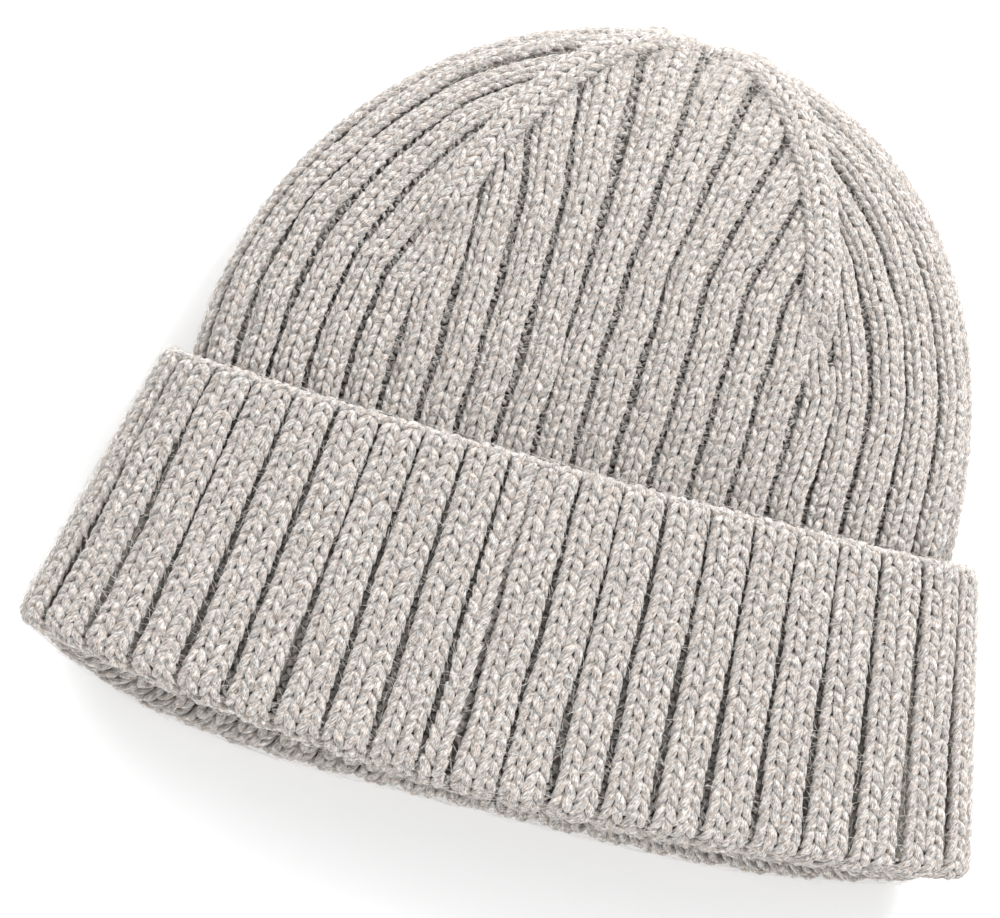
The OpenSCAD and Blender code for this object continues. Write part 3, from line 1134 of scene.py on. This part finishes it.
chain_rows = np.arange(INSIDE_ROW + 1, LAST_INSIDE_ROW - 1)
chain_row = np.repeat(chain_rows, 2).astype(float)
chain_leg = np.tile([1, 2], len(chain_rows))
finish_piece("body_seam_chain", legs_mesh("body_seam_chain", LEG,
             *lay_legs(LEG, chain_place, np.zeros(len(chain_row), int), chain_row, chain_leg, CHAIN_WIDTH,
                       1.7, lean=0.8, top=0.9, flip=-1)), ["body_seam"], YARN)


def link_place(rib, row, off, n):
    v = row * CUFF_ROW
    middle = CUFF_BOUNDS[SEAM_RIB]
    return CUFF.at(v, middle + off / np.interp(v, V_CUFF, CUFF_AROUND), n - 2.4 * ease(v / 62))


link_row = np.arange(0.6, FOLD_ROW - 0.5, 0.5)
turns = np.where(np.arange(len(link_row)) % 2 == 0, 1, -1)
finish_piece("cuff_seam_links", legs_mesh("cuff_seam_links", LEG,
             *lay_bumps(LEG, link_place, np.zeros(len(link_row), int), link_row, 0.3 * turns, 3.0, 1.8,
                        0.6 * turns, np.full(len(link_row), -1.7), CUFF_ROW)),
             ["cuff_seam"], YARN)

# %% [markdown]
# Brushed wool is hairy: loose fibres stand off the yarn, blur the stitches and bridge the gaps. Each
# is a thin closed three-sided strand with a gentle curve, laid at random over the rib tops.

# %% Loose fibres
FIBRE_R = 0.037
FIBRE_STEPS = 3


def fibres(place, base_v, base_u, rise):
    """Strands around places on a surface. place(v, u, n) finds a point, with u in millimetres."""
    count = len(base_v)
    turn = rng.uniform(0, 2 * math.pi, count)
    length = rng.uniform(2.2, 5.0, count)
    curve = rng.normal(0, 0.25, count)
    s = np.linspace(-0.5, 0.5, FIBRE_STEPS)[None]
    ahead = length[:, None] * s
    aside = curve[:, None] * length[:, None] * (s**2 - 0.1)
    v = base_v[:, None] + ahead * np.sin(turn)[:, None] + aside * np.cos(turn)[:, None]
    u = base_u[:, None] + ahead * np.cos(turn)[:, None] - aside * np.sin(turn)[:, None]
    ends = rng.uniform(0.1, 1.0, (count, 2)) * rise
    n = 0.05 + ends[:, :1] * (0.5 - s) ** 2 + ends[:, 1:] * (0.5 + s) ** 2 + rng.normal(0, 0.1, (count, 1))
    line, lifted = place(v, u, n), place(v, u, n + 1.0)
    up = lifted - line
    up /= np.linalg.norm(up, axis=-1, keepdims=True)
    way = np.gradient(line, axis=1)
    side = np.cross(way, up)
    side /= np.linalg.norm(side, axis=-1, keepdims=True) + 1e-9
    radius = FIBRE_R * np.array([0.5, 1.1, 0.5])[None, :, None, None]
    rounds = np.radians([90, 210, 330])
    ring = side[:, :, None] * np.cos(rounds)[None, None, :, None] + up[:, :, None] * np.sin(rounds)[None, None, :, None]
    return (line[:, :, None] + radius * ring).reshape(count, -1, 3)


def strand_faces():
    faces = [(0, 1, 2), tuple(3 * (FIBRE_STEPS - 1) + i for i in (2, 1, 0))]
    for step in range(FIBRE_STEPS - 1):
        for i in range(3):
            j = (i + 1) % 3
            faces.append((3 * step + i, 3 * step + 3 + i, 3 * step + 3 + j, 3 * step + j))
    return faces


STRAND = {"faces": strand_faces(), "uv": np.zeros((2 * 3 + 12 * (FIBRE_STEPS - 1), 2))}


def fibre_piece(name, points):
    finish_piece(name, legs_mesh(name, STRAND, points, np.zeros((len(points), 2))), [], LOOSE)


def on_cuff(v, u, n):
    return CUFF.at(v, u / np.interp(v, V_CUFF, CUFF_AROUND), n)


CUFF_FIBRES = 9500
WEDGE_FIBRES = {"back": 7500, "front": 1500, "right": 4500, "left": 4500}
SEAM_FIBRES = 420
v = rng.uniform(-0.5, INSIDE_V + 4, CUFF_FIBRES)
upper = rng.uniform(size=CUFF_FIBRES) < 0.75
u = np.where(upper, rng.uniform(-0.02, 0.52, CUFF_FIBRES), rng.uniform(0.5, 1.0, CUFF_FIBRES))
fibre_piece("cuff_loose_fibres", fibres(on_cuff, v, u * np.interp(v, V_CUFF, CUFF_AROUND), 1.2))
for name, wedge in WEDGES.items():
    count = WEDGE_FIBRES[name]
    t = rng.uniform(-2, wedge.skin.along[-1] - 2, count)
    a = rng.uniform(-1, 1, count)
    a = a * wedge.limit(t, a)
    fibre_piece(f"{name}_loose_fibres", fibres(wedge.skin.at, t, a, 1.2))

for name, skin in SEAM_SKINS.items():
    t = rng.uniform(6, skin.along[-1] - 3, SEAM_FIBRES)
    off = rng.uniform(-4, 4, SEAM_FIBRES)
    fibre_piece(f"{name}_loose_fibres", fibres(lambda v, u, n: skin.at(v, u, n + SEAM_RISE - 0.4), t, off, 1.0))

# %% [markdown]
# For each wedge, the flat size of its sheet of knitting is worked out and printed, from the count of ribs at the gauge
# of that part and the wedge's length, before the hat is filled out and laid down, with the area that the wedge covers.

# %% The sheets of knitting
BODY_GAUGE = 9.7


for name, wedge in WEDGES.items():
    wide = len(wedge.centres) * BODY_GAUGE / 1000
    tall = (wedge.skin.along[-1] - BODY_START) / 1000
    widths = [wedge.limit(t, 1.0) + wedge.limit(t, -1.0) for t in wedge.skin.along]
    cut = float(np.mean(widths)) / 1000 * tall
    print(name, "flat", round(wide, 3), round(tall, 3), "cut", round(cut, 4))

total = sum(len(piece.data.loop_triangles) for piece in PIECES.values())
print("all pieces", total, "triangles")

# %% [markdown]
# The hat lies on a white sweep in soft light from above, and the camera looks straight down at it
# through a long lens, turned so that the hat leans to the right.

# %% Floor, light and camera
CAMERA_ROLL = math.radians(15.4)
VIEW_WIDTH = 0.250
FOCUS_Z = 0.020
LENS = 190.0
AIM = (-0.0173, -0.0141)

bpy.ops.object.select_all(action="DESELECT")
bpy.ops.mesh.primitive_plane_add(size=6, location=(0, 0, 0))
floor = bpy.context.object
floor.name = "floor"
white = bpy.data.materials.new("white_sweep")
white.use_nodes = True
white.node_tree.nodes["Principled BSDF"].inputs["Base Color"].default_value = (0.9, 0.9, 0.9, 1)
white.node_tree.nodes["Principled BSDF"].inputs["Roughness"].default_value = 0.9
floor.data.materials.append(white)


def soft_box(name, place, aim, size, power):
    light = bpy.data.lights.new(name, "AREA")
    light.size = size
    light.energy = power
    lamp = bpy.data.objects.new(name, light)
    bpy.context.scene.collection.objects.link(lamp)
    lamp.location = place
    way = np.array(aim) - np.array(place)
    from_z = bpy.context.scene.cursor.location.copy()
    from_z.x, from_z.y, from_z.z = way
    lamp.rotation_euler = from_z.to_track_quat("-Z", "Y").to_euler()
    return lamp


soft_box("key", (1.3, 1.9, 1.5), (0, 0, 0), 0.9, 124)
soft_box("fill", (-1.4, 1.7, 1.2), (0, 0, 0), 1.4, 48)
soft_box("front_fill", (-0.1, -1.4, 0.22), (0, -0.1, 0), 0.9, 20)


world = bpy.data.worlds.new("studio")
bpy.context.scene.world = world
world.use_nodes = True
world.node_tree.nodes["Background"].inputs["Color"].default_value = (1, 1, 1, 1)
world.node_tree.nodes["Background"].inputs["Strength"].default_value = 0.95
bpy.context.scene.view_settings.view_transform = "Standard"

camera_data = bpy.data.cameras.new("camera")
camera_data.lens = LENS
camera_data.sensor_width = 36.0
distance = VIEW_WIDTH * LENS / camera_data.sensor_width
camera = bpy.data.objects.new("camera", camera_data)
bpy.context.scene.collection.objects.link(camera)
camera.location = (AIM[0], AIM[1], FOCUS_Z + distance)
camera.rotation_euler = (0, 0, CAMERA_ROLL)
camera_data.clip_start = 0.01
bpy.context.scene.camera = camera
